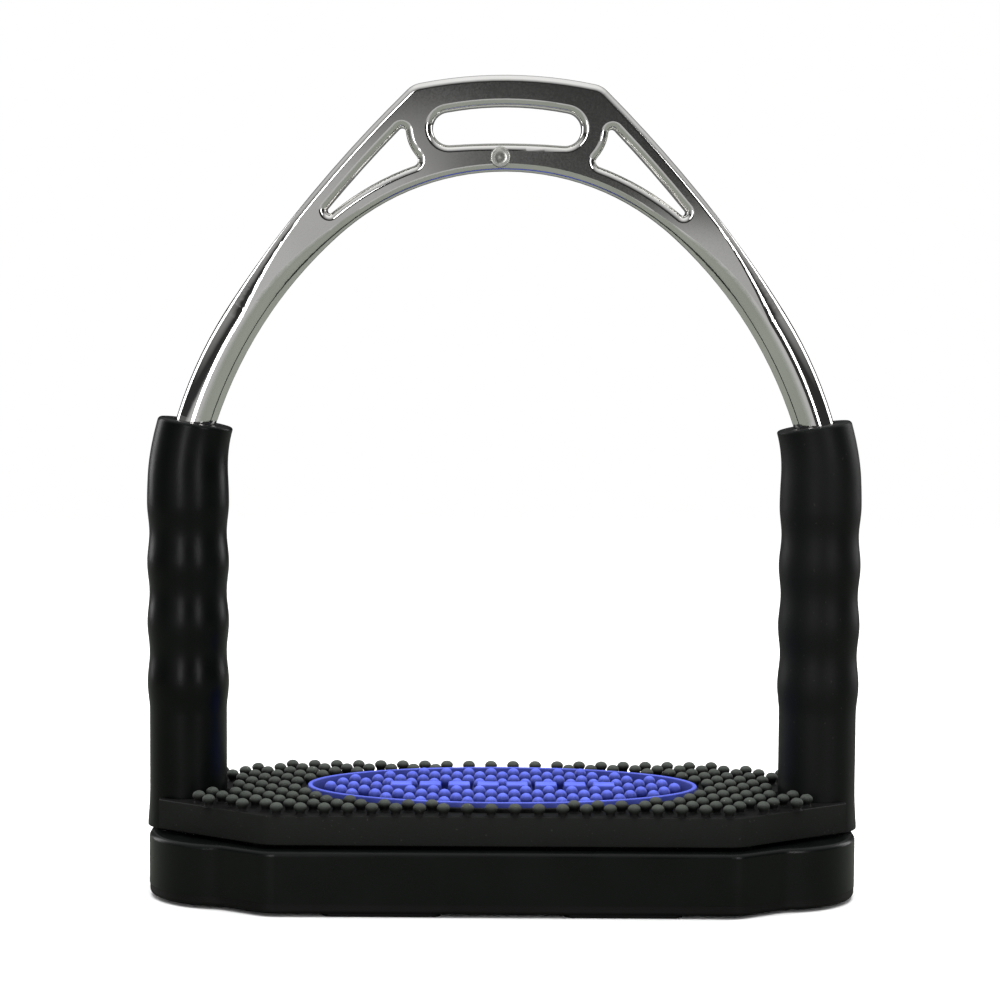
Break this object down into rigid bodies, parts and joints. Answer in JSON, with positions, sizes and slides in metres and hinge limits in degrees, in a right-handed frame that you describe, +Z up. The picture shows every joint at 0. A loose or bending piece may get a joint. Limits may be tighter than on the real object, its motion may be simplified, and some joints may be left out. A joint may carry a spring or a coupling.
{
  "type": "flexible stirrup iron",
  "caption": "Flexible riding stirrup: polished bow with a slotted eye, rubber-sleeved hinged branches, moulded base and studded rubber tread with an oval insert.",
  "frame": {"origin": "centre of the footprint, on the floor under the base", "axes": "+X along the tread to the right, +Y across the tread to the back, +Z up to the eye"},
  "size_m": [0.1556, 0.0588, 0.1776],
  "materials": {
    "polished_steel": "mirror-polished stainless steel",
    "plain_steel": "turned steel",
    "black_plastic": "satin-gloss moulded",
    "sleeve_rubber": "satin moulded rubber",
    "tread_rubber": "matt moulded rubber",
    "blue_rubber": "satin moulded rubber",
    "brass": "turned brass"
  },
  "bodies": {
    "base": {"base_housing": "black_plastic", "bottom_cover": "black_plastic", "cover_screws": "plain_steel", "frame_bar": "plain_steel", "stud_washers": "plain_steel", "stud_nuts": "plain_steel", "tread_pad": "tread_rubber", "tread_insert": "blue_rubber", "tread_bushes": "brass", "tread_screws": "plain_steel", "left_fork": "plain_steel", "right_fork": "plain_steel", "left_pin_1": "plain_steel", "right_pin_1": "plain_steel", "left_sleeve": "sleeve_rubber", "right_sleeve": "sleeve_rubber"},
    "bow": {"bow": "polished_steel", "badge_disc": "polished_steel"},
    "left_link_1": {"left_link_1": "plain_steel", "left_pin_2": "plain_steel"},
    "left_link_2": {"left_link_2": "plain_steel", "left_pin_3": "plain_steel"},
    "left_link_3": {"left_link_3": "plain_steel", "left_pin_4": "plain_steel"},
    "right_link_1": {"right_link_1": "plain_steel", "right_pin_2": "plain_steel"},
    "right_link_2": {"right_link_2": "plain_steel", "right_pin_3": "plain_steel"},
    "right_link_3": {"right_link_3": "plain_steel", "right_pin_4": "plain_steel"}
  },
  "joints": [
    {"name": "left_lower_swing", "type": "hinge", "parent": "base", "child": "left_link_1", "pos_m": [-0.0689, 0, 0.04576], "axis": [1, 0, 0], "range_deg": [-18, 18], "stiffness_Nm_per_rad": 2, "deforming": ["left_sleeve"]},
    {"name": "left_lower_sway", "type": "hinge", "parent": "left_link_1", "child": "left_link_2", "pos_m": [-0.0689, 0, 0.05886], "axis": [0, 1, 0], "range_deg": [-15, 15], "stiffness_Nm_per_rad": 4},
    {"name": "left_upper_sway", "type": "hinge", "parent": "left_link_2", "child": "left_link_3", "pos_m": [-0.0689, 0, 0.07196], "axis": [0, 1, 0], "range_deg": [-15, 15]},
    {"name": "left_upper_swing", "type": "hinge", "parent": "left_link_3", "child": "bow", "pos_m": [-0.0689, 0, 0.08506], "axis": [1, 0, 0], "range_deg": [-18, 18], "stiffness_Nm_per_rad": 2},
    {"name": "right_lower_swing", "type": "hinge", "parent": "base", "child": "right_link_1", "pos_m": [0.0689, 0, 0.04576], "axis": [1, 0, 0], "range_deg": [-18, 18], "deforming": ["right_sleeve"]},
    {"name": "right_lower_sway", "type": "hinge", "parent": "right_link_1", "child": "right_link_2", "pos_m": [0.0689, 0, 0.05886], "axis": [0, 1, 0], "range_deg": [-15, 15]},
    {"name": "right_upper_sway", "type": "hinge", "parent": "right_link_2", "child": "right_link_3", "pos_m": [0.0689, 0, 0.07196], "axis": [0, 1, 0], "range_deg": [-15, 15]}
  ],
  "couplings": [
    {"joint": "right_lower_swing", "follows": "left_lower_swing", "ratio": 1},
    {"joint": "left_upper_sway", "follows": "left_lower_sway", "ratio": -1},
    {"joint": "right_lower_sway", "follows": "left_lower_sway", "ratio": 1},
    {"joint": "right_upper_sway", "follows": "left_lower_sway", "ratio": -1}
  ]
}
